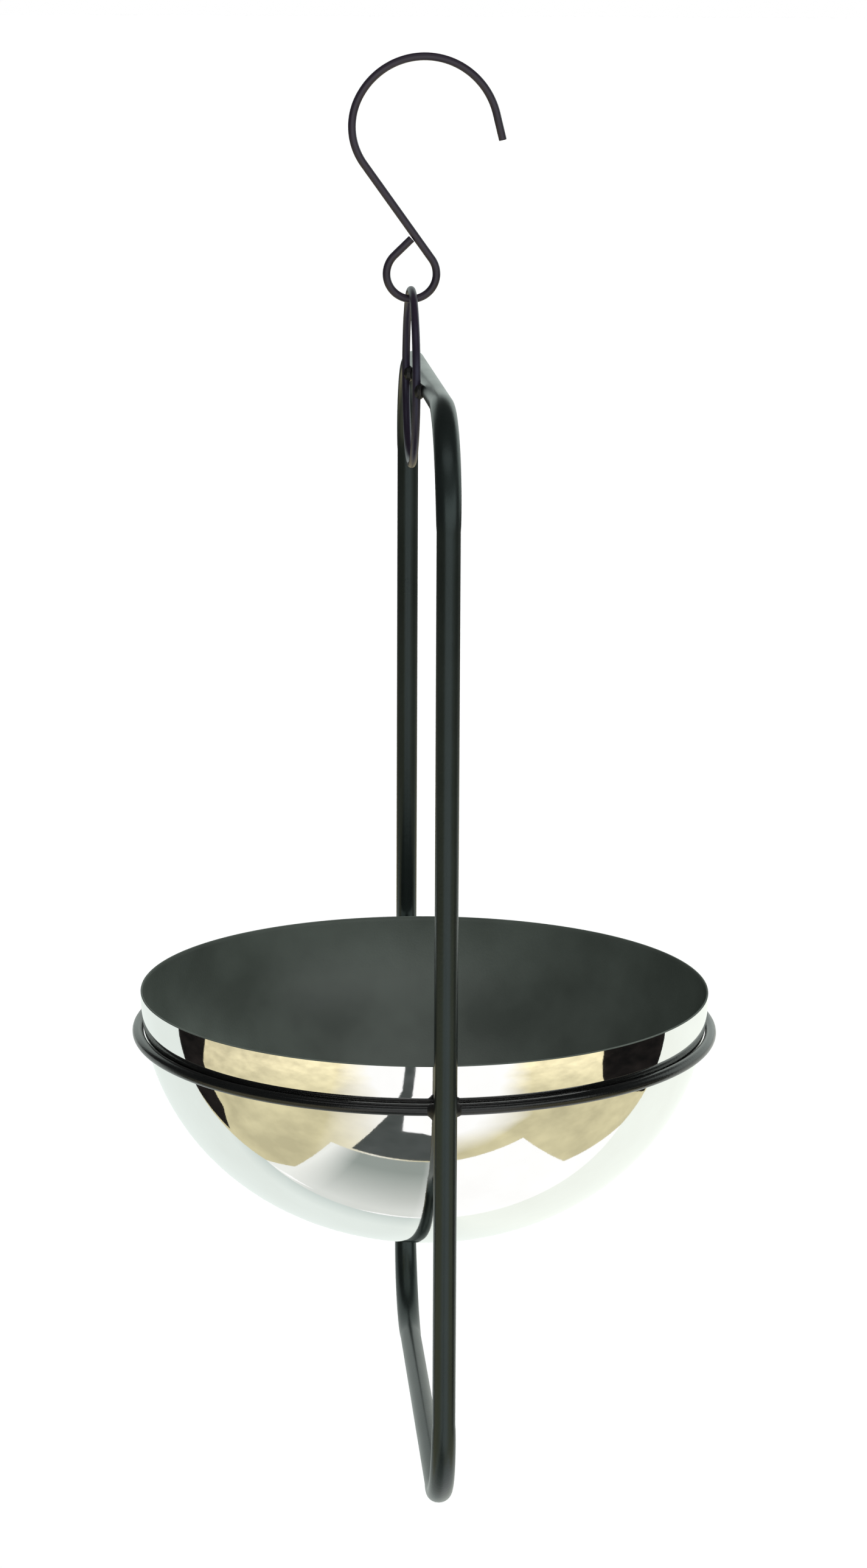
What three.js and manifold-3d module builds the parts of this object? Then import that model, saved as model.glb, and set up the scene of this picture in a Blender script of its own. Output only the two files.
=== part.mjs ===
// Hanging plant hanger: a wire S-hook, a bent tube frame with a support ring, and a lift-out bowl.
// Millimetres and degrees, +Z up. The origin is where the hook hangs: the underside of its crown.
// The hook lies in the plane XZ, and the frame and its hanging loop lie in planes parallel to YZ.
import * as THREE from 'three';
import { mergeVertices } from 'three/addons/utils/BufferGeometryUtils.js';
import Module from 'manifold-3d';

const wasm = await Module();
wasm.setup();

// S-hook, one round wire bent in one plane
const hook_wire_diameter = 3.3;
const hook_tip_length = 11.2;
const hook_tip_lean_deg = 14;
const hook_crown_radius = 31.2;
const hook_crown_turn_deg = 139;
const hook_shoulder_radius = 26.4;
const hook_shoulder_turn_deg = 63;
const hook_shank_length = 49;
const hook_eye_radius = 10.6;
const hook_eye_turn_deg = 262;
const hook_end_gap = 0.3;

// Hanging loop, a closed ring of wire
const loop_wire_diameter = 3.4;
const loop_radius = 36.8;
const loop_hang_gap = 0.3;
const loop_above_bar = 2.1;

// Frame, one round tube bent to a tall rectangle with round corners
const tube_diameter = 9.6;
const tube_wall = 1;
const frame_height = 472.6;
const corner_radius = 45;
const ring_below_top = 289.2;
const seam_gap = 0.3;
const bend_widening_share = 0.1;
const bend_flattening_share = 0.06;

// Support ring, a round rod
const rod_diameter = 5;

// Bowl, thin pressed sheet
const bowl_diameter = 250;
const bowl_depth = 108.5;
const bowl_wall = 0.8;
const bowl_floor_radius = 25;
const bowl_roundness = 2.05;
const rim_above_ring = 18.3;
const bowl_seat_gap = 0.3;

// Weld beads, and the gap that stands for the weld line between two pieces
const weld_gap = 0.3;
const ring_weld_reach_side = 3;
const ring_weld_reach_height = 2.2;
const ring_weld_depth = 3;
const loop_weld_reach = 1.5;
const loop_weld_depth = 2.6;
const cut_overrun = 6;

// Facets of round forms
const wire_sides = 10;
const tube_sides = 14;
const bend_step_deg = 8;
const ring_steps = 72;
const loop_steps = 48;
const bowl_steps = 72;
const bowl_profile_steps = 11;
const bead_steps = 16;

// Sizes that follow from the ones above
const hook_wire_radius = hook_wire_diameter / 2;
const loop_wire_radius = loop_wire_diameter / 2;
const tube_radius = tube_diameter / 2;
const rod_radius = rod_diameter / 2;
const bowl_radius = bowl_diameter / 2;
const frame_line_height = frame_height - tube_diameter;

const { abs, cos, sin, PI } = Math;
const radians = (degrees) => degrees * PI / 180;

// Unit outline of the bowl: how wide it is, as a share of its radius, at a share of its depth
const widthShare = (depth_share) => (1 - depth_share ** bowl_roundness) ** (1 / bowl_roundness);

// Depth that the round outline would have if it ran on below the flat floor
const fullDepth = (radius, depth) => depth / widthShare(bowl_floor_radius / radius);
const bowl_full_depth = fullDepth(bowl_radius, bowl_depth);

// The ring's inside follows the bowl where the two meet, and the uprights follow the ring
const bowl_radius_at_ring = bowl_radius * widthShare(rim_above_ring / bowl_full_depth);
const ring_radius = bowl_radius_at_ring + bowl_seat_gap + rod_radius;
const frame_line_width = 2 * (ring_radius + rod_radius + weld_gap + tube_radius);

// Walks along a bent wire in its own plane: u to the right, v up, headings anticlockwise from u
const walk = (start, heading_deg, moves) => {
  const stations = [{ u: start.u, v: start.v, heading: radians(heading_deg), bend: 0 }];
  for (const move of moves) {
    const from = stations[stations.length - 1];
    if (move.length !== undefined) {
      const u = from.u + move.length * cos(from.heading);
      const v = from.v + move.length * sin(from.heading);
      stations.push({ u, v, heading: from.heading, bend: 0 });
    } else {
      stations.push(...arcStations(from, move));
    }
  }
  return stations;
};

// Stations along an arc; bend rises from nothing at its ends to one in its middle
const arcStations = (from, { radius, turn_deg }) => {
  const steps = Math.ceil(abs(turn_deg) / bend_step_deg);
  const side = Math.sign(turn_deg);
  const centre_u = from.u - side * radius * sin(from.heading);
  const centre_v = from.v + side * radius * cos(from.heading);
  const stations = [];
  for (let i = 1; i <= steps; i += 1) {
    const share = i / steps;
    const heading = from.heading + radians(turn_deg) * share;
    const u = centre_u + side * radius * sin(heading);
    const v = centre_v - side * radius * cos(heading);
    stations.push({ u, v, heading, bend: Math.sqrt(sin(PI * share)) });
  }
  return stations;
};

// One section of a wire or tube across its line: in the plane, and square to the plane
const section = (station, in_plane, out_of_plane, sides, place) => {
  const points = [];
  for (let i = 0; i < sides; i += 1) {
    const angle = 2 * PI * i / sides;
    const across = in_plane * cos(angle);
    const u = station.u - across * sin(station.heading);
    const v = station.v + across * cos(station.heading);
    points.push(place(u, v, out_of_plane * sin(angle)));
  }
  return points;
};

// How a station's plane lies in space
const inXZ = (u, v, out) => new THREE.Vector3(u, -out, v);
const inYZ = (u, v, out) => new THREE.Vector3(out, u, v);

// Joins rows of points, each row a closed ring, into one closed skin
const skin = (rows, looped) => {
  const width = rows[0].length;
  const points = rows.flat();
  const faces = [];
  const bands = looped ? rows.length : rows.length - 1;
  for (let i = 0; i < bands; i += 1) {
    const near = i * width;
    const far = ((i + 1) % rows.length) * width;
    for (let j = 0; j < width; j += 1) {
      const next = (j + 1) % width;
      faces.push(near + j, near + next, far + next);
      faces.push(near + j, far + next, far + j);
    }
  }
  if (!looped) {
    const last = (rows.length - 1) * width;
    for (let j = 1; j < width - 1; j += 1) {
      faces.push(0, j + 1, j);
      faces.push(last, last + j, last + j + 1);
    }
  }
  const geometry = new THREE.BufferGeometry();
  geometry.setFromPoints(points);
  geometry.setIndex(faces);
  geometry.computeVertexNormals();
  return geometry;
};

// Solid wire along a walk
const wireAlong = (stations, radius, place) =>
  skin(stations.map((station) => section(station, radius, radius, wire_sides, place)), false);

// Hollow tube along a walk, with open ends; its bends are wider across and flatter in the plane
const tubeAlong = (stations, radius, wall, place) => {
  const layer = (size) => stations.map((station) => {
    const in_plane = size * (1 - bend_flattening_share * station.bend);
    const out_of_plane = size * (1 + bend_widening_share * station.bend);
    return section(station, in_plane, out_of_plane, tube_sides, place);
  });
  const outer = layer(radius);
  const inner = layer(radius - wall).reverse();
  const rows = [];
  for (let j = tube_sides - 1; j >= 0; j -= 1) {
    rows.push([...outer, ...inner].map((ring) => ring[j]));
  }
  return skin(rows, true);
};

// Materials
const paint = (name) => new THREE.MeshStandardMaterial({ name, color: 0x1b1d1e, roughness: 0.48, metalness: 0.1 });
const steel = (name) => new THREE.MeshStandardMaterial({ name, color: 0xe2ddd2, roughness: 0.06, metalness: 1 });
const black_coat = paint('black_coat');
const polished_steel = steel('polished_steel');

const piece = (name, geometry, material) => {
  const mesh = new THREE.Mesh(geometry, material);
  mesh.name = name;
  return mesh;
};

// S-hook: tip, crown, shoulder, shank, eye and the short run that closes the eye against the shank
const crown_centre_v = hook_wire_radius - hook_crown_radius;
const tip_heading_deg = 90 + hook_tip_lean_deg;
const hookStart = () => {
  const angle = radians(hook_tip_lean_deg);
  const u = hook_crown_radius * cos(angle) + hook_tip_length * sin(angle);
  const v = crown_centre_v + hook_crown_radius * sin(angle) - hook_tip_length * cos(angle);
  return { u, v };
};
const hook_moves = [
  { length: hook_tip_length },
  { radius: hook_crown_radius, turn_deg: hook_crown_turn_deg },
  { radius: hook_shoulder_radius, turn_deg: hook_shoulder_turn_deg },
  { length: hook_shank_length },
  { radius: hook_eye_radius, turn_deg: -hook_eye_turn_deg },
];

// Where the shank ends and the eye starts, and where the eye's arc ends
const eye_start = walk(hookStart(), tip_heading_deg, hook_moves.slice(0, -1)).pop();
const eye_end = walk(hookStart(), tip_heading_deg, hook_moves).pop();

// Length of the closing run, so that its cut end stops just short of the shank
const closingLength = () => {
  const across_u = (eye_end.u - eye_start.u) * sin(eye_start.heading);
  const across_v = (eye_end.v - eye_start.v) * cos(eye_start.heading);
  const meeting = eye_end.heading - eye_start.heading;
  const stop = hook_wire_radius + hook_end_gap + hook_wire_radius * abs(cos(meeting));
  return (abs(across_u - across_v) - stop) / abs(sin(meeting));
};
const hook_line = walk(hookStart(), tip_heading_deg, [...hook_moves, { length: closingLength() }]);

// Lowest point of the eye's centre line: the wire there carries the loop
const eye_centre_u = eye_start.u + hook_eye_radius * sin(eye_start.heading);
const eye_centre_v = eye_start.v - hook_eye_radius * cos(eye_start.heading);
const pivot = new THREE.Vector3(eye_centre_u, 0, eye_centre_v - hook_eye_radius);

// Heights below are from the pivot, which everything that swings hangs from
const loop_centre_z = hook_wire_radius + loop_hang_gap + loop_wire_radius - loop_radius;
const top_bar_z = loop_centre_z - loop_above_bar;
const ring_z = top_bar_z + tube_radius - ring_below_top;
const frame_x = loop_wire_radius + weld_gap + tube_radius;

// Frame tube, walked from its butt joint in the middle of the bottom bar, in its own plane
const frameTube = () => {
  const half_bar = frame_line_width / 2 - corner_radius;
  const upright = frame_line_height - 2 * corner_radius;
  const corner = { radius: corner_radius, turn_deg: 90 };
  const start = { u: seam_gap / 2, v: -frame_line_height };
  const moves = [
    { length: half_bar - seam_gap / 2 },
    corner,
    { length: upright },
    corner,
    { length: 2 * half_bar },
    corner,
    { length: upright },
    corner,
    { length: half_bar - seam_gap / 2 },
  ];
  return tubeAlong(walk(start, 0, moves), tube_radius, tube_wall, inYZ);
};

// Bowl, turned about Z with its rim at height zero: outside down to the floor, and inside up again
const bowlProfile = (radius, depth) => {
  const full = fullDepth(radius, depth);
  const floor_angle = Math.asin((bowl_floor_radius / radius) ** (bowl_roundness / 2));
  const points = [];
  for (let i = 0; i <= bowl_profile_steps; i += 1) {
    const angle = PI / 2 + (floor_angle - PI / 2) * i / bowl_profile_steps;
    const wide = sin(angle) ** (2 / bowl_roundness);
    const deep = cos(angle) ** (2 / bowl_roundness);
    points.push(new THREE.Vector2(radius * wide, -full * deep));
  }
  points.push(new THREE.Vector2(0, points[points.length - 1].y));
  return points;
};
const bowlShell = () => {
  const outside = bowlProfile(bowl_radius, bowl_depth);
  const inside = bowlProfile(bowl_radius - bowl_wall, bowl_depth - bowl_wall);
  const shell = new THREE.LatheGeometry([...outside.reverse(), ...inside], bowl_steps);
  return shell.rotateX(PI / 2);
};

// Solids for joins and cuts
const solidOf = (geometry) => {
  const bare = geometry.clone();
  bare.deleteAttribute('normal');
  bare.deleteAttribute('uv');
  const merged = mergeVertices(bare);
  const vertProperties = merged.attributes.position.array;
  const triVerts = new Uint32Array(merged.index.array);
  return new wasm.Manifold(new wasm.Mesh({ numProp: 3, vertProperties, triVerts }));
};
const geometryOf = (solid) => {
  const mesh = solid.getMesh();
  const geometry = new THREE.BufferGeometry();
  geometry.setAttribute('position', new THREE.BufferAttribute(mesh.vertProperties, 3));
  geometry.setIndex(new THREE.BufferAttribute(mesh.triVerts, 1));
  geometry.computeVertexNormals();
  return geometry;
};

// Egg-shaped bead of weld metal, from which the two pieces that it joins are cut
const bead = (centre, half_sizes) => {
  const ball = new THREE.SphereGeometry(1, bead_steps, bead_steps / 2);
  ball.scale(half_sizes.x, half_sizes.y, half_sizes.z);
  ball.translate(centre.x, centre.y, centre.z);
  return solidOf(ball);
};

// Weld between the support ring and one upright, in the ring's own frame
const ringWeld = () => {
  const seam_y = -(ring_radius + rod_radius + weld_gap / 2);
  const half_sizes = new THREE.Vector3(
    tube_radius + ring_weld_reach_side,
    ring_weld_depth,
    rod_radius + ring_weld_reach_height,
  );
  const rod = new THREE.TorusGeometry(ring_radius, rod_radius + weld_gap, wire_sides, ring_steps);
  const upright = new THREE.CylinderGeometry(
    tube_radius + weld_gap,
    tube_radius + weld_gap,
    2 * (half_sizes.z + cut_overrun),
    tube_sides,
  );
  upright.rotateX(PI / 2);
  upright.translate(0, -frame_line_width / 2, 0);
  const metal = bead(new THREE.Vector3(0, seam_y, 0), half_sizes);
  return geometryOf(metal.subtract(solidOf(rod)).subtract(solidOf(upright)));
};

// Weld between the hanging loop and the top bar, in the loop's own frame
const loopWeld = (side) => {
  const contact_y = side * Math.sqrt(loop_radius ** 2 - loop_above_bar ** 2);
  const seam_x = loop_wire_radius + weld_gap / 2;
  const reach = loop_wire_radius + loop_weld_reach;
  const half_sizes = new THREE.Vector3(loop_weld_depth, reach, reach);
  const ring = new THREE.TorusGeometry(loop_radius, loop_wire_radius + weld_gap, wire_sides, loop_steps);
  ring.rotateY(PI / 2);
  const bar = new THREE.CylinderGeometry(
    tube_radius + weld_gap,
    tube_radius + weld_gap,
    2 * (loop_radius + reach + cut_overrun),
    tube_sides,
  );
  bar.translate(frame_x, 0, -loop_above_bar);
  const metal = bead(new THREE.Vector3(seam_x, contact_y, -loop_above_bar), half_sizes);
  return geometryOf(metal.subtract(solidOf(ring)).subtract(solidOf(bar)));
};

// The hook holds still, and the rest hangs in its eye
const hanger = new THREE.Group();
hanger.add(piece('s_hook', wireAlong(hook_line, hook_wire_radius, inXZ), black_coat));

const swinging = new THREE.Group();
swinging.position.copy(pivot);
hanger.add(swinging);

// Hanging loop and its two welds
const loop_group = new THREE.Group();
loop_group.position.set(0, 0, loop_centre_z);
swinging.add(loop_group);
const loop_ring = piece(
  'hanging_loop',
  new THREE.TorusGeometry(loop_radius, loop_wire_radius, wire_sides, loop_steps),
  black_coat,
);
loop_ring.rotation.y = PI / 2;
loop_group.add(loop_ring);
loop_group.add(piece('loop_weld_near', loopWeld(-1), black_coat));
loop_group.add(piece('loop_weld_far', loopWeld(1), black_coat));

// Frame tube
const frame_tube = piece('frame_tube', frameTube(), black_coat);
frame_tube.position.set(frame_x, 0, top_bar_z);
swinging.add(frame_tube);

// Support ring, its two welds and the bowl that stands in it
const ring_group = new THREE.Group();
ring_group.position.set(frame_x, 0, ring_z);
swinging.add(ring_group);
ring_group.add(piece(
  'support_ring',
  new THREE.TorusGeometry(ring_radius, rod_radius, wire_sides, ring_steps),
  black_coat,
));
const ring_weld_shape = ringWeld();
ring_group.add(piece('ring_weld_near', ring_weld_shape, black_coat));
const far_weld = piece('ring_weld_far', ring_weld_shape, black_coat);
far_weld.rotation.z = PI;
ring_group.add(far_weld);
const bowl = piece('bowl', bowlShell(), polished_steel);
bowl.position.z = rim_above_ring;
ring_group.add(bowl);

export default hanger;
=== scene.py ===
import math
import bpy
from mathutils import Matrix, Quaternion, Vector, noise


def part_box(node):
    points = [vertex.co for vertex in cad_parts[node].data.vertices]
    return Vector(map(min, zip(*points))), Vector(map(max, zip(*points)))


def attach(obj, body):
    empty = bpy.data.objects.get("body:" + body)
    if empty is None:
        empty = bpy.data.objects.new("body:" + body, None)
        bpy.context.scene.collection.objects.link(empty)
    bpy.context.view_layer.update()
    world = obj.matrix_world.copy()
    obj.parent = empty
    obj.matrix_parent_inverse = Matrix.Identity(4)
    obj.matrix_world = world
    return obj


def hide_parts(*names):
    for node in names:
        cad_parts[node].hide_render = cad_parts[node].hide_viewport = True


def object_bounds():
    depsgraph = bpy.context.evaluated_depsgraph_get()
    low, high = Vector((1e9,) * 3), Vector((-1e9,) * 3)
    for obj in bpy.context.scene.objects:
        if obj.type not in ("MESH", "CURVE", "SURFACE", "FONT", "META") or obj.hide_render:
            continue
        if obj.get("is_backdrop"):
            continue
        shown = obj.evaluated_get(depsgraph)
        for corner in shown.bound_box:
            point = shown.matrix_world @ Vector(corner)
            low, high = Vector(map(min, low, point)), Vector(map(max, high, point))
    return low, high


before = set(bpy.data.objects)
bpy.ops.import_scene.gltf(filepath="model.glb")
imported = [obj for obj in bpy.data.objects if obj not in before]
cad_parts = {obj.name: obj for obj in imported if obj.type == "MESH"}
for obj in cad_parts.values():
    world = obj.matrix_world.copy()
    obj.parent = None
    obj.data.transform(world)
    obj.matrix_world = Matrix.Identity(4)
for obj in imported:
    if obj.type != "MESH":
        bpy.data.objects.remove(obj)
cad_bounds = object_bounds()

# Looks of a hanging plant hanger: wire S-hook, bent tube frame with a support ring, and a polished bowl.
# Metres, +Z up. The origin is the underside of the hook's crown.
# The hook lies in the plane XZ, and the frame in a plane parallel to YZ.

# Directions
X_AXIS = Vector((1, 0, 0))
Y_AXIS = Vector((0, 1, 0))
Z_AXIS = Vector((0, 0, 1))

# S-hook
HOOK_WIRE_RADIUS = 0.00165
HOOK_TIP_LENGTH = 0.0112
HOOK_TIP_LEAN = math.radians(14)
HOOK_CROWN_RADIUS = 0.0312
HOOK_CROWN_TURN = math.radians(139)
HOOK_SHOULDER_RADIUS = 0.0264
HOOK_SHOULDER_TURN = math.radians(63)
HOOK_SHANK_LENGTH = 0.049
HOOK_EYE_RADIUS = 0.0106
HOOK_EYE_TURN = math.radians(262)
HOOK_END_GAP = 0.00005
CUT_END_ROUNDING = 0.00025

# Hanging loop, frame tube and support ring
LOOP_WIRE_RADIUS = 0.0017
TUBE_RADIUS = 0.0048
CORNER_RADIUS = 0.045
BEND_WIDENING_SHARE = 0.1
BEND_FLATTENING_SHARE = 0.06
ROD_RADIUS = 0.0025

# Weld beads of the loop
WELD_ROUGHNESS = 0.00022
BEAD_HALF_SIZES = Vector((0.0026, 0.0034, 0.0034))
BEAD_LUMP_SCALE = 2.3
BEAD_PLACE_SCALE = 90
BEAD_RIPPLES = 3
BEAD_RIPPLE_BEND = 2
BEAD_RIPPLE_SHARE = 0.5

# Welds of the support ring
FILLET_REACH = 0.0078
FILLET_START = 0.0043
FILLET_TAPER_POWER = 2
FILLET_END_RADIUS = 0.0023
FILLET_EXTRA_HEIGHT = 0.0019
FILLET_EXTRA_DEPTH = 0.0007
FILLET_SKEW_SHARE = 0.35
FILLET_LUMP_SCALE = 420
FILLET_RIPPLE_SCALE = 2600
FILLET_RIPPLE_BEND = 3
FILLET_RIPPLE_SHARE = 0.6

# Bowl
BOWL_WALL = 0.0008
BOWL_COAT = 0.00025
BOWL_FLOOR_RADIUS = 0.025
BOWL_ROUNDNESS = 2.05
COAT_WRAP_SHARE = 1.2

# Mesh detail
WIRE_SIDES = 28
TUBE_SIDES = 40
BEND_STEP = math.radians(3)
CUT_END_STEPS = 3
TORUS_STEPS = 240
BOWL_STEPS = 256
BOWL_PROFILE_STEPS = 72
LIP_STEPS = 6
BEAD_RINGS = 40
BEAD_SIDES = 56
FILLET_STEPS = 64


# Mesh helpers

def make_object(name, points, faces, flat=()):
    """Mesh object, smooth but for the faces listed in flat, whose edges are sharp."""
    mesh = bpy.data.meshes.new(name)
    mesh.from_pydata([tuple(p) for p in points], [], faces)
    mesh.validate()
    mesh.polygons.foreach_set("use_smooth", [i not in flat for i in range(len(faces))])
    sharp = {key for i in flat for key in mesh.polygons[i].edge_keys}
    for edge in mesh.edges:
        edge.use_edge_sharp = edge.key in sharp
    obj = bpy.data.objects.new(name, mesh)
    bpy.context.scene.collection.objects.link(obj)
    return obj


def skin(name, rows, closed=False):
    """Skins rows of points, each row a closed ring. Open ends are capped with one flat face."""
    width = len(rows[0])
    points = [p for row in rows for p in row]
    faces = []
    bands = len(rows) if closed else len(rows) - 1
    for i in range(bands):
        near = i * width
        far = (i + 1) % len(rows) * width
        for j in range(width):
            k = (j + 1) % width
            faces.append((near + j, near + k, far + k, far + j))
    caps = []
    if not closed:
        last = (len(rows) - 1) * width
        caps = [len(faces), len(faces) + 1]
        faces.append(tuple(range(width - 1, -1, -1)))
        faces.append(tuple(range(last, last + width)))
    return make_object(name, points, faces, set(caps))


def pole_faces(rows, sides):
    """Faces of a closed body: a point on its axis, rows of points around it, and a last point on the axis."""
    faces = []
    last = 1 + (rows - 1) * sides
    for j in range(sides):
        k = (j + 1) % sides
        faces.append((0, 1 + k, 1 + j))
        for i in range(rows - 1):
            near = 1 + i * sides
            far = near + sides
            faces.append((near + j, near + k, far + k, far + j))
        faces.append((last + j, last + k, last + sides))
    return faces


def walk(u, v, heading, moves):
    """Stations (u, v, heading, bend) along a bent wire. A move is (length,) or (radius, turn)."""
    stations = [(u, v, heading, 0.0)]
    for move in moves:
        u, v, heading, _ = stations[-1]
        if len(move) == 1:
            length = move[0]
            stations.append((u + length * math.cos(heading), v + length * math.sin(heading), heading, 0.0))
            continue
        radius, turn = move
        side = math.copysign(1, turn)
        centre_u = u - side * radius * math.sin(heading)
        centre_v = v + side * radius * math.cos(heading)
        steps = math.ceil(abs(turn) / BEND_STEP)
        for i in range(1, steps + 1):
            share = i / steps
            angle = heading + turn * share
            bend = math.sqrt(math.sin(math.pi * share)) if i < steps else 0.0
            at_u = centre_u + side * radius * math.sin(angle)
            at_v = centre_v - side * radius * math.cos(angle)
            stations.append((at_u, at_v, angle, bend))
    return stations


def section(station, in_plane, out_of_plane, sides, place):
    """One ring of points across the wire at a station."""
    u, v, heading, _ = station
    ring = []
    for i in range(sides):
        angle = math.tau * i / sides
        across = in_plane * math.cos(angle)
        at_u = u - across * math.sin(heading)
        at_v = v + across * math.cos(heading)
        ring.append(place(at_u, at_v, out_of_plane * math.sin(angle)))
    return ring


# S-hook, in the plane XZ

def in_xz(u, v, out):
    return Vector((u, -out, v))


def rounded_end(station, forward, place):
    """Rings that round the edge of a cut end off, from the wire's skin to its face."""
    u, v, heading, _ = station
    rings = []
    for i in range(CUT_END_STEPS + 1):
        angle = math.pi / 2 * i / CUT_END_STEPS
        back = CUT_END_ROUNDING * (1 - math.sin(angle)) * forward
        radius = HOOK_WIRE_RADIUS - CUT_END_ROUNDING * (1 - math.cos(angle))
        at = (u - back * math.cos(heading), v - back * math.sin(heading), heading, 0.0)
        rings.append(section(at, radius, radius, WIRE_SIDES, place))
    return rings


def hook_line():
    """Stations of the hook's wire: tip, crown, shoulder, shank, eye and the run that closes the eye."""
    crown_centre_v = HOOK_WIRE_RADIUS - HOOK_CROWN_RADIUS
    crown_end_v = crown_centre_v + HOOK_CROWN_RADIUS * math.sin(HOOK_TIP_LEAN)
    u = HOOK_CROWN_RADIUS * math.cos(HOOK_TIP_LEAN) + HOOK_TIP_LENGTH * math.sin(HOOK_TIP_LEAN)
    v = crown_end_v - HOOK_TIP_LENGTH * math.cos(HOOK_TIP_LEAN)
    heading = math.pi / 2 + HOOK_TIP_LEAN
    moves = [
        (HOOK_TIP_LENGTH,),
        (HOOK_CROWN_RADIUS, HOOK_CROWN_TURN),
        (HOOK_SHOULDER_RADIUS, HOOK_SHOULDER_TURN),
        (HOOK_SHANK_LENGTH,),
        (HOOK_EYE_RADIUS, -HOOK_EYE_TURN),
    ]
    shank_end = walk(u, v, heading, moves[:-1])[-1]
    eye_end = walk(u, v, heading, moves)[-1]
    across_u = (eye_end[0] - shank_end[0]) * math.sin(shank_end[2])
    across_v = (eye_end[1] - shank_end[1]) * math.cos(shank_end[2])
    meeting = eye_end[2] - shank_end[2]
    stop = HOOK_WIRE_RADIUS + HOOK_END_GAP + HOOK_WIRE_RADIUS * abs(math.cos(meeting))
    closing = (abs(across_u - across_v) - stop) / abs(math.sin(meeting))
    return walk(u, v, heading, moves + [(closing,)])


def make_hook():
    stations = hook_line()
    rings = rounded_end(stations[0], -1, in_xz)[::-1]
    rings += [section(s, HOOK_WIRE_RADIUS, HOOK_WIRE_RADIUS, WIRE_SIDES, in_xz) for s in stations[1:-1]]
    rings += rounded_end(stations[-1], 1, in_xz)
    return skin("hook_wire", rings)


# Frame tube, in a plane parallel to YZ

def make_frame_tube():
    low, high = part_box("frame_tube")
    centre_x = (low.x + high.x) / 2
    half_width = high.y - TUBE_RADIUS
    bottom = low.z + TUBE_RADIUS
    upright = high.z - TUBE_RADIUS - bottom - 2 * CORNER_RADIUS
    half_bar = half_width - CORNER_RADIUS
    corner = (CORNER_RADIUS, math.pi / 2)
    moves = [(half_bar,), corner, (upright,), corner, (2 * half_bar,), corner, (upright,), corner]

    def place(u, v, out):
        return Vector((centre_x + out, u, v))

    rings = []
    for station in walk(0, bottom, 0, moves):
        in_plane = TUBE_RADIUS * (1 - BEND_FLATTENING_SHARE * station[3])
        out_of_plane = TUBE_RADIUS * (1 + BEND_WIDENING_SHARE * station[3])
        rings.append(section(station, in_plane, out_of_plane, TUBE_SIDES, place))
    return skin("frame_tube_skin", rings, closed=True)


# Hanging loop and support ring

def make_torus(name, centre, radius, wire_radius, axis_1, axis_2):
    """Closed ring of round wire whose centre line lies in the plane of the two axes."""
    normal = axis_1.cross(axis_2)
    rings = []
    for i in range(TORUS_STEPS):
        angle = math.tau * i / TORUS_STEPS
        out = axis_1 * math.cos(angle) + axis_2 * math.sin(angle)
        ring = []
        for j in range(WIRE_SIDES):
            turn = math.tau * j / WIRE_SIDES
            across = out * (radius + wire_radius * math.cos(turn))
            ring.append(centre + across - normal * wire_radius * math.sin(turn))
        rings.append(ring)
    return skin(name, rings, closed=True)


def make_loop():
    low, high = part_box("hanging_loop")
    radius = (high.z - low.z) / 2 - LOOP_WIRE_RADIUS
    return make_torus("loop_wire", (low + high) / 2, radius, LOOP_WIRE_RADIUS, Y_AXIS, Z_AXIS)


def make_ring():
    low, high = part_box("support_ring")
    radius = (high.x - low.x) / 2 - ROD_RADIUS
    return make_torus("ring_rod", (low + high) / 2, radius, ROD_RADIUS, X_AXIS, Y_AXIS)


# Welds, lumpy with the ripples that the torch leaves

def bead_point(unit, centre):
    """Point of a bead's skin in the direction of a unit vector."""
    lump = noise.noise(unit * BEAD_LUMP_SCALE + centre * BEAD_PLACE_SCALE)
    ripple = math.sin(BEAD_RIPPLES * unit.x * math.pi + lump * BEAD_RIPPLE_BEND)
    size = 1 + (lump + BEAD_RIPPLE_SHARE * ripple) * WELD_ROUGHNESS / BEAD_HALF_SIZES.y
    return centre + Vector([unit[k] * BEAD_HALF_SIZES[k] * size for k in range(3)])


def make_bead(name, node):
    """Weld between the hanging loop and the top bar: an egg shape."""
    low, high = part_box(node)
    centre = (low + high) / 2
    points = [centre - Z_AXIS * BEAD_HALF_SIZES.z]
    for i in range(1, BEAD_RINGS):
        rise = math.pi * i / BEAD_RINGS
        for j in range(BEAD_SIDES):
            turn = math.tau * j / BEAD_SIDES
            wide = math.sin(rise)
            unit = Vector((wide * math.cos(turn), wide * math.sin(turn), -math.cos(rise)))
            points.append(bead_point(unit, centre))
    points.append(centre + Z_AXIS * BEAD_HALF_SIZES.z)
    return make_object(name, points, pole_faces(BEAD_RINGS - 1, BEAD_SIDES))


def fillet_ring(centre, x, line_y):
    """Section of a ring weld at x from its middle, where the rod's centre line is at line_y."""
    reach = min(1.0, max(0.0, (abs(x) - FILLET_START) / (FILLET_REACH - FILLET_START)))
    web = (1 - reach) ** FILLET_TAPER_POWER
    middle_y = line_y + (centre.y - line_y) * web
    depth = FILLET_END_RADIUS + FILLET_EXTRA_DEPTH * web
    ring = []
    for j in range(BEAD_SIDES):
        turn = math.tau * j / BEAD_SIDES
        up = math.sin(turn)
        skew = 1 + FILLET_SKEW_SHARE * math.copysign(1, x) * up
        height = FILLET_END_RADIUS + FILLET_EXTRA_HEIGHT * web * skew
        point = Vector((centre.x + x, middle_y + depth * math.cos(turn), centre.z + height * up))
        ripple = math.sin(x * FILLET_RIPPLE_SCALE + FILLET_RIPPLE_BEND * up)
        lump = noise.noise(point * FILLET_LUMP_SCALE) + FILLET_RIPPLE_SHARE * ripple
        out = Vector((0, math.cos(turn), up)) * lump * WELD_ROUGHNESS * math.sqrt(web)
        ring.append(point + out)
    return ring


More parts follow.
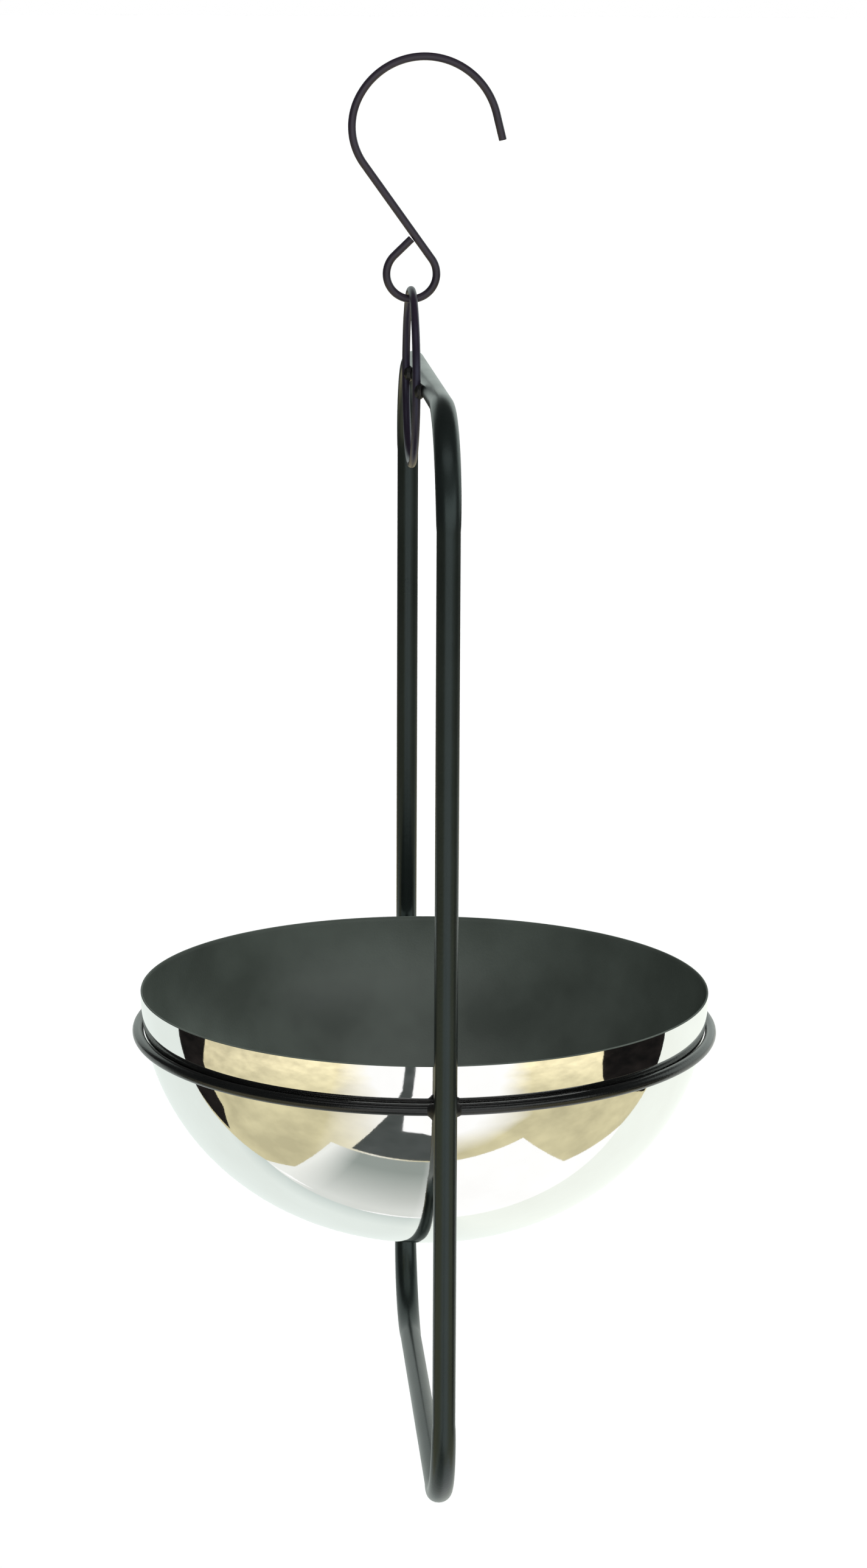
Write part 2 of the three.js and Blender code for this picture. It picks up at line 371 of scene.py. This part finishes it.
def make_fillet(name, node):
    """Weld of the support ring: a web that tapers from the upright into the ring on both sides."""
    low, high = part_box(node)
    centre = (low + high) / 2
    ring_low, ring_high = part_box("support_ring")
    line_radius = (ring_high.x - ring_low.x) / 2 - ROD_RADIUS
    side = math.copysign(1, centre.y)
    rings = []
    for i in range(FILLET_STEPS + 1):
        x = FILLET_REACH * (2 * i / FILLET_STEPS - 1)
        line_y = side * math.sqrt(line_radius ** 2 - x ** 2)
        rings.append(fillet_ring(centre, x, line_y))
    return skin(name, rings)


# Bowl, turned about the middle of its rim

def bowl_profile(radius, depth):
    """Points (radius, height) from the edge of the flat floor up to the rim at height zero."""
    floor_share = BOWL_FLOOR_RADIUS / radius
    full_depth = depth / (1 - floor_share ** BOWL_ROUNDNESS) ** (1 / BOWL_ROUNDNESS)
    floor_angle = math.asin(floor_share ** (BOWL_ROUNDNESS / 2))
    points = []
    for i in range(BOWL_PROFILE_STEPS + 1):
        angle = floor_angle + (math.pi / 2 - floor_angle) * i / BOWL_PROFILE_STEPS
        wide = math.sin(angle) ** (2 / BOWL_ROUNDNESS)
        deep = max(0.0, math.cos(angle)) ** (2 / BOWL_ROUNDNESS)
        points.append((radius * wide, -full_depth * deep))
    return points


def turned(name, centre, outline, flat_row):
    """Body of an outline (radius, height) that starts and ends on the axis, with one row of flat faces."""
    points = [centre + Vector((0, 0, outline[0][1]))]
    for radius, height in outline[1:-1]:
        for j in range(BOWL_STEPS):
            turn = math.tau * j / BOWL_STEPS
            points.append(centre + Vector((radius * math.cos(turn), radius * math.sin(turn), height)))
    points.append(centre + Vector((0, 0, outline[-1][1])))
    rows = len(outline) - 2
    flat = {j * (rows + 1) + flat_row for j in range(BOWL_STEPS)}
    return make_object(name, points, pole_faces(rows, BOWL_STEPS), flat)


def make_bowl():
    """Polished shell outside, and the coat that lines it and wraps over its edge."""
    low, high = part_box("bowl")
    rim = Vector(((low.x + high.x) / 2, 0, high.z))
    radius = (high.x - low.x) / 2
    depth = high.z - low.z
    steel = BOWL_WALL - BOWL_COAT
    lip = BOWL_WALL / 2
    cut = -lip * COAT_WRAP_SHARE
    outside = bowl_profile(radius, depth)
    middle = bowl_profile(radius - steel, depth - steel)
    inside = bowl_profile(radius - BOWL_WALL, depth - BOWL_WALL)
    edge = []
    for i in range(LIP_STEPS + 1):
        angle = math.pi * i / LIP_STEPS
        edge.append((radius - lip + lip * math.cos(angle), -lip + lip * math.sin(angle)))
    shell = [(0, outside[0][1])] + outside[:-1] + [(radius, cut), (radius - steel, cut)]
    shell += middle[-2::-1] + [(0, middle[0][1])]
    coat = [(0, middle[0][1])] + middle[:-1] + [(radius - steel, cut), (radius, cut)]
    coat += edge + inside[-2::-1] + [(0, inside[0][1])]
    flat_row = BOWL_PROFILE_STEPS + 1
    return turned("bowl_shell", rim, shell, flat_row), turned("bowl_coat", rim, coat, flat_row)


# Material helpers, with noise scales per metre
NOISE_ROUGHNESS = 0.55
NOISE_DETAIL = 4
NOISE_RANGE = (0.3, 0.7)


def new_material(name):
    material = bpy.data.materials.new(name)
    material.use_nodes = True
    nodes = material.node_tree.nodes
    return material, nodes, material.node_tree.links, nodes["Principled BSDF"]


def emission(name):
    """Material that only glows: returns it, its nodes and links, and the socket for its colour."""
    material, nodes, links, shader = new_material(name)
    nodes.remove(shader)
    glow = nodes.new("ShaderNodeEmission")
    links.new(glow.outputs["Emission"], nodes["Material Output"].inputs["Surface"])
    return material, nodes, links, glow.inputs["Color"]


def place_node(nodes):
    """Place of a point of the surface, in metres."""
    return nodes.new("ShaderNodeTexCoord").outputs["Object"]


def noise_node(nodes, links, coordinates, scale, detail=NOISE_DETAIL):
    texture = nodes.new("ShaderNodeTexNoise")
    texture.inputs["Scale"].default_value = scale
    texture.inputs["Detail"].default_value = detail
    texture.inputs["Roughness"].default_value = NOISE_ROUGHNESS
    links.new(coordinates, texture.inputs["Vector"])
    return texture.outputs["Fac"]


def ramp_node(nodes, links, value, low, high, colour_low, colour_high):
    ramp = nodes.new("ShaderNodeValToRGB")
    ramp.color_ramp.elements[0].position = low
    ramp.color_ramp.elements[1].position = high
    ramp.color_ramp.elements[0].color = (*colour_low, 1)
    ramp.color_ramp.elements[1].color = (*colour_high, 1)
    links.new(value, ramp.inputs["Fac"])
    return ramp.outputs["Color"]


def range_node(nodes, links, value, low, high, out_low, out_high):
    node = nodes.new("ShaderNodeMapRange")
    for key, number in (("From Min", low), ("From Max", high), ("To Min", out_low), ("To Max", out_high)):
        node.inputs[key].default_value = number
    links.new(value, node.inputs["Value"])
    return node.outputs["Result"]


def math_node(nodes, links, operation, first, second):
    node = nodes.new("ShaderNodeMath")
    node.operation = operation
    for i, value in enumerate((first, second)):
        if isinstance(value, (int, float)):
            node.inputs[i].default_value = value
        else:
            links.new(value, node.inputs[i])
    return node.outputs["Value"]


def vector_node(nodes, links, operation, vector):
    node = nodes.new("ShaderNodeVectorMath")
    node.operation = operation
    links.new(vector, node.inputs[0])
    return node


def dot_node(nodes, links, vector, other):
    node = vector_node(nodes, links, "DOT_PRODUCT", vector)
    node.inputs[1].default_value = other
    return node.outputs["Value"]


def mix_node(nodes, links, share, first, second):
    node = nodes.new("ShaderNodeMix")
    node.data_type = "RGBA"
    links.new(share, node.inputs["Factor"])
    for key, value in (("A", first), ("B", second)):
        socket = [s for s in node.inputs if s.name == key and s.type == "RGBA"][0]
        if isinstance(value, tuple):
            socket.default_value = (*value, 1)
        else:
            links.new(value, socket)
    return [s for s in node.outputs if s.type == "RGBA"][0]


def bump_node(nodes, links, height, distance, strength, normal=None):
    node = nodes.new("ShaderNodeBump")
    node.inputs["Distance"].default_value = distance
    node.inputs["Strength"].default_value = strength
    links.new(height, node.inputs["Height"])
    if normal is not None:
        links.new(normal, node.inputs["Normal"])
    return node.outputs["Normal"]


# Satin black coats. Each has a dark and a light colour for its clouds and a range of roughness.
PLAIN_SPECULAR = 0.5
NO_TINT = (1, 1, 1)
HOOK_COAT = {"dark": (0.014, 0.009, 0.018), "light": (0.025, 0.017, 0.031), "roughness": (0.34, 0.42)}
LOOP_COAT = {**HOOK_COAT, "tint": (0.66, 0.74, 1)}
FRAME_COAT = {
    "dark": (0.005, 0.007, 0.0065), "light": (0.009, 0.0125, 0.0115),
    "roughness": (0.26, 0.33), "tint": (0.82, 1, 0.99),
}
WELD_COAT = {
    "dark": (0.005, 0.005, 0.005), "light": (0.010, 0.010, 0.010),
    "roughness": (0.38, 0.46), "specular": 0.4,
}
ROD_COAT = {"dark": (0.003, 0.0035, 0.0035), "light": (0.006, 0.007, 0.007), "roughness": (0.2, 0.27)}
LINING_COAT = {"dark": (0.066, 0.081, 0.069), "light": (0.104, 0.126, 0.109), "roughness": (0.34, 0.42)}
COAT_CLOUDS = {"scale": 22, "detail": 3}
COAT_PEEL = {"scale": 900, "detail": 2}
COAT_GRAIN = {"scale": 3200, "detail": 2}
CLOUD_COLOUR_RANGE = (0.35, 0.68)
PEEL_BUMP = {"distance": 0.00012, "strength": 0.35}
GRAIN_BUMP = {"distance": 0.00005, "strength": 0.3}
DULL_EDGE_ROUGHNESS = 0.9


def black_coat(name, dark, light, roughness, specular=PLAIN_SPECULAR, tint=NO_TINT):
    """Powder coat with faint clouds in its colour and gloss, a fine orange peel and a finer grain."""
    material, nodes, links, shader = new_material(name)
    place = place_node(nodes)
    clouds = noise_node(nodes, links, place, **COAT_CLOUDS)
    peel = noise_node(nodes, links, place, **COAT_PEEL)
    grain = noise_node(nodes, links, place, **COAT_GRAIN)
    colour = ramp_node(nodes, links, clouds, *CLOUD_COLOUR_RANGE, dark, light)
    links.new(colour, shader.inputs["Base Color"])
    links.new(range_node(nodes, links, clouds, *NOISE_RANGE, *roughness), shader.inputs["Roughness"])
    normal = bump_node(nodes, links, peel, **PEEL_BUMP)
    normal = bump_node(nodes, links, grain, **GRAIN_BUMP, normal=normal)
    links.new(normal, shader.inputs["Normal"])
    shader.inputs["Specular IOR Level"].default_value = specular
    shader.inputs["Specular Tint"].default_value = (*tint, 1)
    return material


def lining_coat():
    """Lining of the bowl: a lighter coat, dull where it wraps over the edge."""
    material = black_coat("lining_coat", **LINING_COAT)
    nodes = material.node_tree.nodes
    links = material.node_tree.links
    satin = nodes["Principled BSDF"].inputs["Roughness"]
    rim_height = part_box("bowl")[1].z
    height = dot_node(nodes, links, place_node(nodes), Z_AXIS)
    edge = (rim_height - 2 * BOWL_WALL, rim_height - BOWL_WALL)
    dull = range_node(nodes, links, height, *edge, 0, DULL_EDGE_ROUGHNESS)
    links.new(math_node(nodes, links, "MAXIMUM", satin.links[0].from_socket, dull), satin)
    return material


# Mirror-polished steel
STEEL_DARK = (0.83, 0.825, 0.81)
STEEL_LIGHT = (0.87, 0.87, 0.86)
STEEL_ROUGHNESS = (0.025, 0.06)
STEEL_WAVES = {"scale": 9, "detail": 1}
STEEL_SMUDGES = {"scale": 35, "detail": 5}
STEEL_GRAIN = {"scale": 1400, "detail": 2}
SMUDGE_GLOSS_RANGE = (0.4, 0.75)
WAVE_BUMP = {"distance": 0.0004, "strength": 0.6}
POLISH_BUMP = {"distance": 0.000004, "strength": 0.5}


def polished_steel():
    """Warm white metal with a long soft waviness, a very fine grain and faint smudges."""
    material, nodes, links, shader = new_material("polished_steel")
    place = place_node(nodes)
    waves = noise_node(nodes, links, place, **STEEL_WAVES)
    smudges = noise_node(nodes, links, place, **STEEL_SMUDGES)
    grain = noise_node(nodes, links, place, **STEEL_GRAIN)
    colour = ramp_node(nodes, links, smudges, *NOISE_RANGE, STEEL_DARK, STEEL_LIGHT)
    links.new(colour, shader.inputs["Base Color"])
    gloss = range_node(nodes, links, smudges, *SMUDGE_GLOSS_RANGE, *STEEL_ROUGHNESS)
    links.new(gloss, shader.inputs["Roughness"])
    normal = bump_node(nodes, links, waves, **WAVE_BUMP)
    normal = bump_node(nodes, links, grain, **POLISH_BUMP, normal=normal)
    links.new(normal, shader.inputs["Normal"])
    shader.inputs["Metallic"].default_value = 1
    return material


# The object, piece by piece

def dress(piece, body, material, slot, *nodes):
    """Gives a piece its material and its body, and hides the CAD nodes that it stands for. The slot is not
    used.
    """
    piece.data.materials.append(material)
    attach(piece, body)
    if nodes:
        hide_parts(*nodes)


def build_object():
    wire = black_coat("hook_coat", **HOOK_COAT)
    loop = black_coat("loop_coat", **LOOP_COAT)
    tube = black_coat("frame_coat", **FRAME_COAT)
    bead = black_coat("weld_coat", **WELD_COAT)
    rod = black_coat("rod_coat", **ROD_COAT)
    lining = lining_coat()
    steel = polished_steel()
    dress(make_hook(), "hook", wire, "black_coat", "s_hook")
    dress(make_loop(), "frame", loop, "black_coat", "hanging_loop")
    dress(make_frame_tube(), "frame", tube, "black_coat", "frame_tube")
    dress(make_ring(), "frame", rod, "black_coat", "support_ring")
    for side in ("near", "far"):
        fillet = make_fillet(f"ring_bead_{side}", f"ring_weld_{side}")
        dress(fillet, "frame", bead, "black_coat", f"ring_weld_{side}")
        loop_bead = make_bead(f"loop_bead_{side}", f"loop_weld_{side}")
        dress(loop_bead, "frame", bead, "black_coat", f"loop_weld_{side}")
    shell, coat = make_bowl()
    dress(shell, "bowl", steel, "polished_steel", "bowl")
    dress(coat, "bowl", lining, "black_coat")


# Camera at the photograph's place, as found from the edges of the frame, ring and bowl
CAMERA_PLACE = Vector((-0.1019, -1.5715, 0.0284))
CAMERA_HEADING = math.radians(3.89)
CAMERA_PITCH = math.radians(12.12)
CAMERA_ROLL = math.radians(0.27)
SENSOR_LONG_SIDE_MM = 36
FOCAL_PIXELS = 6067
IMAGE_HEIGHT_PIXELS = 2576


def make_camera():
    forward = Vector((
        math.sin(CAMERA_HEADING) * math.cos(CAMERA_PITCH),
        math.cos(CAMERA_HEADING) * math.cos(CAMERA_PITCH),
        -math.sin(CAMERA_PITCH),
    ))
    data = bpy.data.cameras.new("photo_camera")
    data.sensor_width = SENSOR_LONG_SIDE_MM
    data.lens = SENSOR_LONG_SIDE_MM * FOCAL_PIXELS / IMAGE_HEIGHT_PIXELS
    camera = bpy.data.objects.new("photo_camera", data)
    bpy.context.scene.collection.objects.link(camera)
    camera.location = CAMERA_PLACE
    camera.rotation_mode = "QUATERNION"
    level = forward.to_track_quat("-Z", "Y")
    camera.rotation_quaternion = level @ Quaternion(Z_AXIS, CAMERA_ROLL)
    bpy.context.scene.camera = camera


# Studio: white surroundings, a pale floor far below the hanging object, and soft lamps.
# A lamp has its bearing, rise and spread in degrees, and its strength.
WHITE = (1, 1, 1, 1)
WORLD_LIGHT = 0.46
FLOOR_HEIGHT = -1.3
FLOOR_SIZE = 400
FLOOR_COLOUR = (0.86, 0.87, 0.865, 1)
FLOOR_ROUGHNESS = 0.9
FLOOR_LIFT = 0.18
LAMPS = {"key_lamp": (144, 62, 25, 1.3), "fill_lamp": (20, 32, 60, 0.85)}


def seen_mask(nodes, links):
    """One where a camera, glossy or transmission ray looks, and zero for light that falls on things."""
    path = nodes.new("ShaderNodeLightPath")
    total = path.outputs["Is Camera Ray"]
    for name in ("Is Glossy Ray", "Is Transmission Ray"):
        total = math_node(nodes, links, "MAXIMUM", total, path.outputs[name])
    return total


def make_world():
    world = bpy.data.worlds.new("studio")
    world.use_nodes = True
    bpy.context.scene.world = world
    nodes = world.node_tree.nodes
    links = world.node_tree.links
    light = nodes["Background"]
    light.inputs["Color"].default_value = WHITE
    light.inputs["Strength"].default_value = WORLD_LIGHT
    shown = nodes.new("ShaderNodeBackground")
    shown.inputs["Color"].default_value = WHITE
    shown.inputs["Strength"].default_value = 1
    mix = nodes.new("ShaderNodeMixShader")
    links.new(seen_mask(nodes, links), mix.inputs["Fac"])
    links.new(light.outputs["Background"], mix.inputs[1])
    links.new(shown.outputs["Background"], mix.inputs[2])
    links.new(mix.outputs["Shader"], nodes["World Output"].inputs["Surface"])


def make_floor():
    half = FLOOR_SIZE / 2
    corners = [(-half, -half), (half, -half), (half, half), (-half, half)]
    floor = make_object("floor", [(x, y, FLOOR_HEIGHT) for x, y in corners], [(0, 1, 2, 3)])
    material, nodes, links, shader = new_material("pale_floor")
    shader.inputs["Base Color"].default_value = FLOOR_COLOUR
    shader.inputs["Roughness"].default_value = FLOOR_ROUGHNESS
    shader.inputs["Specular IOR Level"].default_value = 0
    shader.inputs["Emission Color"].default_value = WHITE
    lift = math_node(nodes, links, "MULTIPLY", seen_mask(nodes, links), FLOOR_LIFT)
    links.new(lift, shader.inputs["Emission Strength"])
    floor.data.materials.append(material)
    floor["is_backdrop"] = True


def make_lamps():
    for name, (bearing, rise, spread, strength) in LAMPS.items():
        across = math.cos(math.radians(rise))
        bearing = math.radians(bearing)
        height = math.sin(math.radians(rise))
        towards = Vector((across * math.sin(bearing), -across * math.cos(bearing), height))
        data = bpy.data.lights.new(name, "SUN")
        data.angle = math.radians(spread)
        data.energy = strength
        lamp = bpy.data.objects.new(name, data)
        lamp.visible_glossy = False
        bpy.context.scene.collection.objects.link(lamp)
        lamp.rotation_mode = "QUATERNION"
        lamp.rotation_quaternion = (-towards).to_track_quat("-Z", "Y")


# Cards that only reflections see: the paper, floor, white light and dark shapes that the bowl mirrors.
# Those below it lie on a level of their own, in layers. Bearings run from the front, positive to the right.
CARD_LEVEL = -1.15
CARD_STEP = 0.002
LOW_LAYER = 1
MIDDLE_LAYER = 2
TOP_LAYER = 3

# Paper: a sheet on the floor that is folded up behind the object
SHEET_FOLD = 0.19
SHEET_TOP = -0.42
SHEET_LEFT = -0.53
SHEET_RIGHT = 0.86
SHEET_CORNERS = [
    (SHEET_LEFT, SHEET_FOLD), (-0.45, 0.03), (-0.47, -0.38), (0.10, -0.40),
    (0.47, -0.46), (0.51, -0.02), (SHEET_RIGHT, SHEET_FOLD),
]
PAPER_SHADED = (0.33, 0.37, 0.345)
PAPER_EDGE = (0.98, 1.0, 0.96)
# Painted shade of the fold: colour of the paper where it bends up
PAPER_FOLD_SHADE = (0.66, 0.74, 0.71)
PAPER_PALE = (0.87, 0.94, 0.90)
PAPER_SOFT = (1.02, 1.07, 1.0)
# White of the paper, used also for the painted glints and the pool of light
PAPER_AND_LIGHT_WHITE = (1.18, 1.18, 1.18)
PAPER_CLOUDS = {"scale": 20}
PAPER_CLOUD_SHARE = 0.96
SHADOW_LEFT = (-0.44, -0.30)
SHADOW_RIGHT = (-0.02, 0.10)
SHADOW_BACK = (-0.28, 0.12)
SHADOW_BACK_SHARE = 0.3
# Heights over which the painted shade of the fold fades upwards
FOLD_SHADE_HEIGHTS = (CARD_LEVEL, -0.88)

# Painted shadow, dark flags and painted glints of light on the floor
SHADE_CORNERS = [
    (-0.36, -0.40), (-0.33, -0.74), (-0.31, -0.91), (-0.32, -1.45), (-0.55, -2.9), (-0.34, -2.9),
    (-0.20, -1.36), (-0.20, -0.92), (-0.17, -0.71), (-0.05, -0.70), (0.06, -0.64), (0.06, -0.405),
]
SHADE_COLOURS = ((0.055, 0.065, 0.061), (0.1, 0.11, 0.108))
FLAGS = {
    "left_flag": [(-0.77, 0.30), (-1.0, 0.235), (-1.73, 0.42), (-2.8, 0.44), (-2.8, 1.7)],
    "right_flag": [
        (1.23, 0.30), (1.27, -0.15), (1.42, -0.40), (1.55, -0.49), (1.97, -0.69), (2.9, -1.0), (2.9, 1.3),
    ],
}
FLAG_COLOURS = ((0.006, 0.006, 0.006), (0.02, 0.017, 0.016))
# The glints are painted highlights: thin strips of light along the fold of the paper
GLINTS = {
    "left_glint": [(-0.51, 0.185), (-0.41, 0.150), (-0.31, 0.150), (-0.40, 0.172)],
    "right_glint": [(-0.17, 0.187), (-0.10, 0.172), (0.02, 0.178), (0.02, 0.188)],
}
DARK_CLOUDS = {"scale": 3}

# Warm floor, with a pool of white light between three edges.
# An edge has its start, its end, and how far it lies outside and inside where the light begins and is full.
WARM_NEAR = (0.70, 0.64, 0.40)
WARM_FAR = (1.10, 0.99, 0.64)
WARM_DISTANCES = (1.1, 2.2)
WARM_DIM_REACH = (-2.1, -0.9)
WARM_DIM_SHARE = 0.72
FADE_DISTANCES = (2.7, 4.2)
FAR_DARK = (0.075, 0.088, 0.084)
MOTTLE = {"scale": 4, "detail": 3}
MOTTLE_SHARES = (0.84, 1.18)
POOL_EDGES = [
    (Vector((-0.36, -0.66)), Vector((-1.24, -2.18)), (-0.3, 0.2)),
    (Vector((1.50, -1.97)), Vector((0.70, -0.76)), (0, 0.36)),
    (Vector((0.60, -0.75)), Vector((0.10, -0.51)), (-0.06, 0.14)),
]
POOL_WAVES = {"scale": 2.5, "detail": 1}
POOL_WAVER = 0.04

# Dark wall and ceiling, and the soft daylight in front and behind
WALL_DISTANCE = 8.0
WALL_TOP = 9.0
WALL_STEPS = 48
FULL_TURN_DEGREES = 360
WALL_COLOURS = ((0.03, 0.03, 0.03), (0.07, 0.07, 0.07))
CEILING_LEVEL = 2.0
CEILING_EDGE = -0.8
BACK_GLOW = {"bearings": (100, 215), "distance": 4.0, "heights": (-0.35, 2.3)}
BACK_GLOW_LEFT = (0.80, 0.90, 0.85)
BACK_GLOW_RIGHT = (1.12, 1.24, 1.18)
BACK_GLOW_SPREAD = (-2, 2)
FRONT_GLOW = {"bearings": (-32, 62), "distance": 4.0, "heights": (-0.35, 1.6)}
FRONT_GLOW_COLOUR = (1.35, 1.4, 1.38)


def floor_distance(nodes, links, place):
    """Distance from the origin, measured level with the floor."""
    level = vector_node(nodes, links, "MULTIPLY", place)
    level.inputs[1].default_value = X_AXIS + Y_AXIS
    return vector_node(nodes, links, "LENGTH", level.outputs["Vector"]).outputs["Value"]


def pool_reaches(nodes, links, place):
    """How far inside each edge of the pool a point lies."""
    reaches = []
    for start, end, _ in POOL_EDGES:
        along = (end - start).normalized()
        normal = Vector((-along.y, along.x, 0))
        reach = dot_node(nodes, links, place, normal)
        reaches.append(math_node(nodes, links, "SUBTRACT", reach, start.to_3d().dot(normal)))
    return reaches


def pool_share(nodes, links, place, reaches):
    """One inside the pool and zero outside it, with edges that waver a little."""
    waves = noise_node(nodes, links, place, **POOL_WAVES)
    waver = range_node(nodes, links, waves, *NOISE_RANGE, -POOL_WAVER, POOL_WAVER)
    shares = []
    for reach, (_, _, softness) in zip(reaches, POOL_EDGES):
        inside = math_node(nodes, links, "ADD", reach, waver)
        shares.append(range_node(nodes, links, inside, *softness, 0, 1))
    pool = shares[0]
    for share in shares[1:]:
        pool = math_node(nodes, links, "MINIMUM", pool, share)
    return pool


def warm_floor_material():
    """Warm mottled floor, brighter in the distance and near the first edge of the pool, and dark far away."""
    material, nodes, links, colour = emission("warm_floor_glow")
    place = place_node(nodes)
    distance = floor_distance(nodes, links, place)
    reaches = pool_reaches(nodes, links, place)
    far = range_node(nodes, links, distance, *WARM_DISTANCES, 0, 1)
    warm = mix_node(nodes, links, far, WARM_NEAR, WARM_FAR)
    mottle = noise_node(nodes, links, place, **MOTTLE)
    shade = range_node(nodes, links, mottle, *NOISE_RANGE, *MOTTLE_SHARES)
    dim = range_node(nodes, links, reaches[0], *WARM_DIM_REACH, WARM_DIM_SHARE, 1)
    scaled = vector_node(nodes, links, "SCALE", warm)
    links.new(math_node(nodes, links, "MULTIPLY", shade, dim), scaled.inputs["Scale"])
    fade = range_node(nodes, links, distance, *FADE_DISTANCES, 0, 1)
    faded = mix_node(nodes, links, fade, scaled.outputs["Vector"], FAR_DARK)
    pool = pool_share(nodes, links, place, reaches)
    links.new(mix_node(nodes, links, pool, faded, PAPER_AND_LIGHT_WHITE), colour)
    return material


def back_sheet_material():
    """Upright paper: pale green-grey on the left, with painted shade that darkens it towards the fold, and
    nearly white on the right.
    """
    material, nodes, links, colour = emission("back_paper_fold_shade")
    place = place_node(nodes)
    height = dot_node(nodes, links, place, Z_AXIS)
    rise = range_node(nodes, links, height, *FOLD_SHADE_HEIGHTS, 0, 1)
    left = mix_node(nodes, links, rise, PAPER_FOLD_SHADE, PAPER_PALE)
    across = range_node(nodes, links, dot_node(nodes, links, place, X_AXIS), *SHADOW_RIGHT, 0, 1)
    links.new(mix_node(nodes, links, across, left, PAPER_SOFT), colour)
    return material


def sheet_material():
    """White paper with the soft shadow of the hanging object on its left part."""
    material, nodes, links, colour = emission("paper_shaded")
    place = place_node(nodes)
    x = dot_node(nodes, links, place, X_AXIS)
    y = dot_node(nodes, links, place, Y_AXIS)
    shadow = math_node(
        nodes, links, "MULTIPLY",
        range_node(nodes, links, x, *SHADOW_LEFT, 0, 1),
        range_node(nodes, links, y, *SHADOW_BACK, 1, SHADOW_BACK_SHARE),
    )
    left = mix_node(nodes, links, shadow, PAPER_EDGE, PAPER_SHADED)
    across = range_node(nodes, links, x, *SHADOW_RIGHT, 0, 1)
    links.new(mix_node(nodes, links, across, left, PAPER_AND_LIGHT_WHITE), colour)
    return material


def back_glow_material():
    """Soft daylight on the wall behind, stronger towards the right."""
    material, nodes, links, colour = emission("back_glow")
    x = dot_node(nodes, links, place_node(nodes), X_AXIS)
    across = range_node(nodes, links, x, *BACK_GLOW_SPREAD, 0, 1)
    links.new(mix_node(nodes, links, across, BACK_GLOW_LEFT, BACK_GLOW_RIGHT), colour)
    return material


def cloudy_material(name, clouds, low, high):
    """Glow between two colours, in soft clouds."""
    material, nodes, links, colour = emission(name)
    fog = noise_node(nodes, links, place_node(nodes), **clouds)
    links.new(ramp_node(nodes, links, fog, *NOISE_RANGE, low, high), colour)
    return material


def plain_glow_material(name, glow):
    """Glow of one brightness, with faint clouds: the painted glints on the paper, and the daylight in front.
    """
    return cloudy_material(name, PAPER_CLOUDS, tuple(PAPER_CLOUD_SHARE * c for c in glow), glow)


def hide_card(card, material):
    """Leaves a card to glossy rays alone."""
    card.data.materials.append(material)
    for ray in ("camera", "diffuse", "transmission", "volume_scatter", "shadow"):
        setattr(card, f"visible_{ray}", False)
    card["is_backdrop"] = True


def make_card(name, corners, material):
    """Flat card of one face."""
    hide_card(make_object(name, corners, [tuple(range(len(corners)))]), material)


def floor_card(name, corners, layer, material):
    make_card(name, [(x, y, CARD_LEVEL + layer * CARD_STEP) for x, y in corners], material)


def wall_card(name, points, material):
    """Upright card of WALL_STEPS faces, from a lower and an upper point for each of its edges in turn."""
    count = len(points)
    faces = [(2 * i, (2 * i + 2) % count, (2 * i + 3) % count, 2 * i + 1) for i in range(WALL_STEPS)]
    hide_card(make_object(name, points, faces), material)


def around(bearing, distance, height):
    """Point at a bearing in degrees around the object."""
    bearing = math.radians(bearing)
    return (distance * math.sin(bearing), -distance * math.cos(bearing), height)


def arc_card(name, arc, material):
    """Upright card bent along an arc around the object."""
    first, last = arc["bearings"]
    bearings = [first + (last - first) * i / WALL_STEPS for i in range(WALL_STEPS + 1)]
    wall_card(name, [around(b, arc["distance"], z) for b in bearings for z in arc["heights"]], material)


def make_floor_cards(rim):
    make_card("warm_floor_card", rim, warm_floor_material())
    floor_card("sheet_card", SHEET_CORNERS, LOW_LAYER, sheet_material())
    shade = cloudy_material("shade_glow", DARK_CLOUDS, *SHADE_COLOURS)
    floor_card("shade_card", SHADE_CORNERS, MIDDLE_LAYER, shade)
    white = plain_glow_material("glint_white", PAPER_AND_LIGHT_WHITE)
    for name, corners in GLINTS.items():
        floor_card(name, corners, TOP_LAYER, white)
    flag = cloudy_material("flag_glow", DARK_CLOUDS, *FLAG_COLOURS)
    for name, corners in FLAGS.items():
        floor_card(name, corners, LOW_LAYER, flag)


def make_back_sheet():
    corners = [
        (SHEET_LEFT, SHEET_FOLD, CARD_LEVEL), (SHEET_RIGHT, SHEET_FOLD, CARD_LEVEL),
        (SHEET_RIGHT, SHEET_FOLD, SHEET_TOP), (SHEET_LEFT, SHEET_FOLD, SHEET_TOP),
    ]
    make_card("back_sheet_card", corners, back_sheet_material())


def make_room_cards(rim):
    dark = cloudy_material("wall_glow", DARK_CLOUDS, *WALL_COLOURS)
    wall_card("wall_card", [(x, y, z) for x, y, _ in rim for z in (CARD_LEVEL, WALL_TOP)], dark)
    arc_card("back_glow_card", BACK_GLOW, back_glow_material())
    arc_card("front_glow_card", FRONT_GLOW, plain_glow_material("front_glow", FRONT_GLOW_COLOUR))
    corners = [
        (-WALL_DISTANCE, CEILING_EDGE, CEILING_LEVEL), (WALL_DISTANCE, CEILING_EDGE, CEILING_LEVEL),
        (WALL_DISTANCE, WALL_DISTANCE, CEILING_LEVEL), (-WALL_DISTANCE, WALL_DISTANCE, CEILING_LEVEL),
    ]
    make_card("ceiling_card", corners, dark)


def make_cards():
    bearings = [FULL_TURN_DEGREES * i / WALL_STEPS for i in range(WALL_STEPS)]
    rim = [around(bearing, WALL_DISTANCE, CARD_LEVEL) for bearing in bearings]
    make_floor_cards(rim)
    make_back_sheet()
    make_room_cards(rim)


build_object()
make_camera()
make_world()
make_floor()
make_lamps()
make_cards()
bpy.context.scene.view_settings.view_transform = "Standard"

visual_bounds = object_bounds()
sizes = {"cad": cad_bounds, "visual": visual_bounds}
{name: [list(corner) for corner in box] for name, box in sizes.items()}
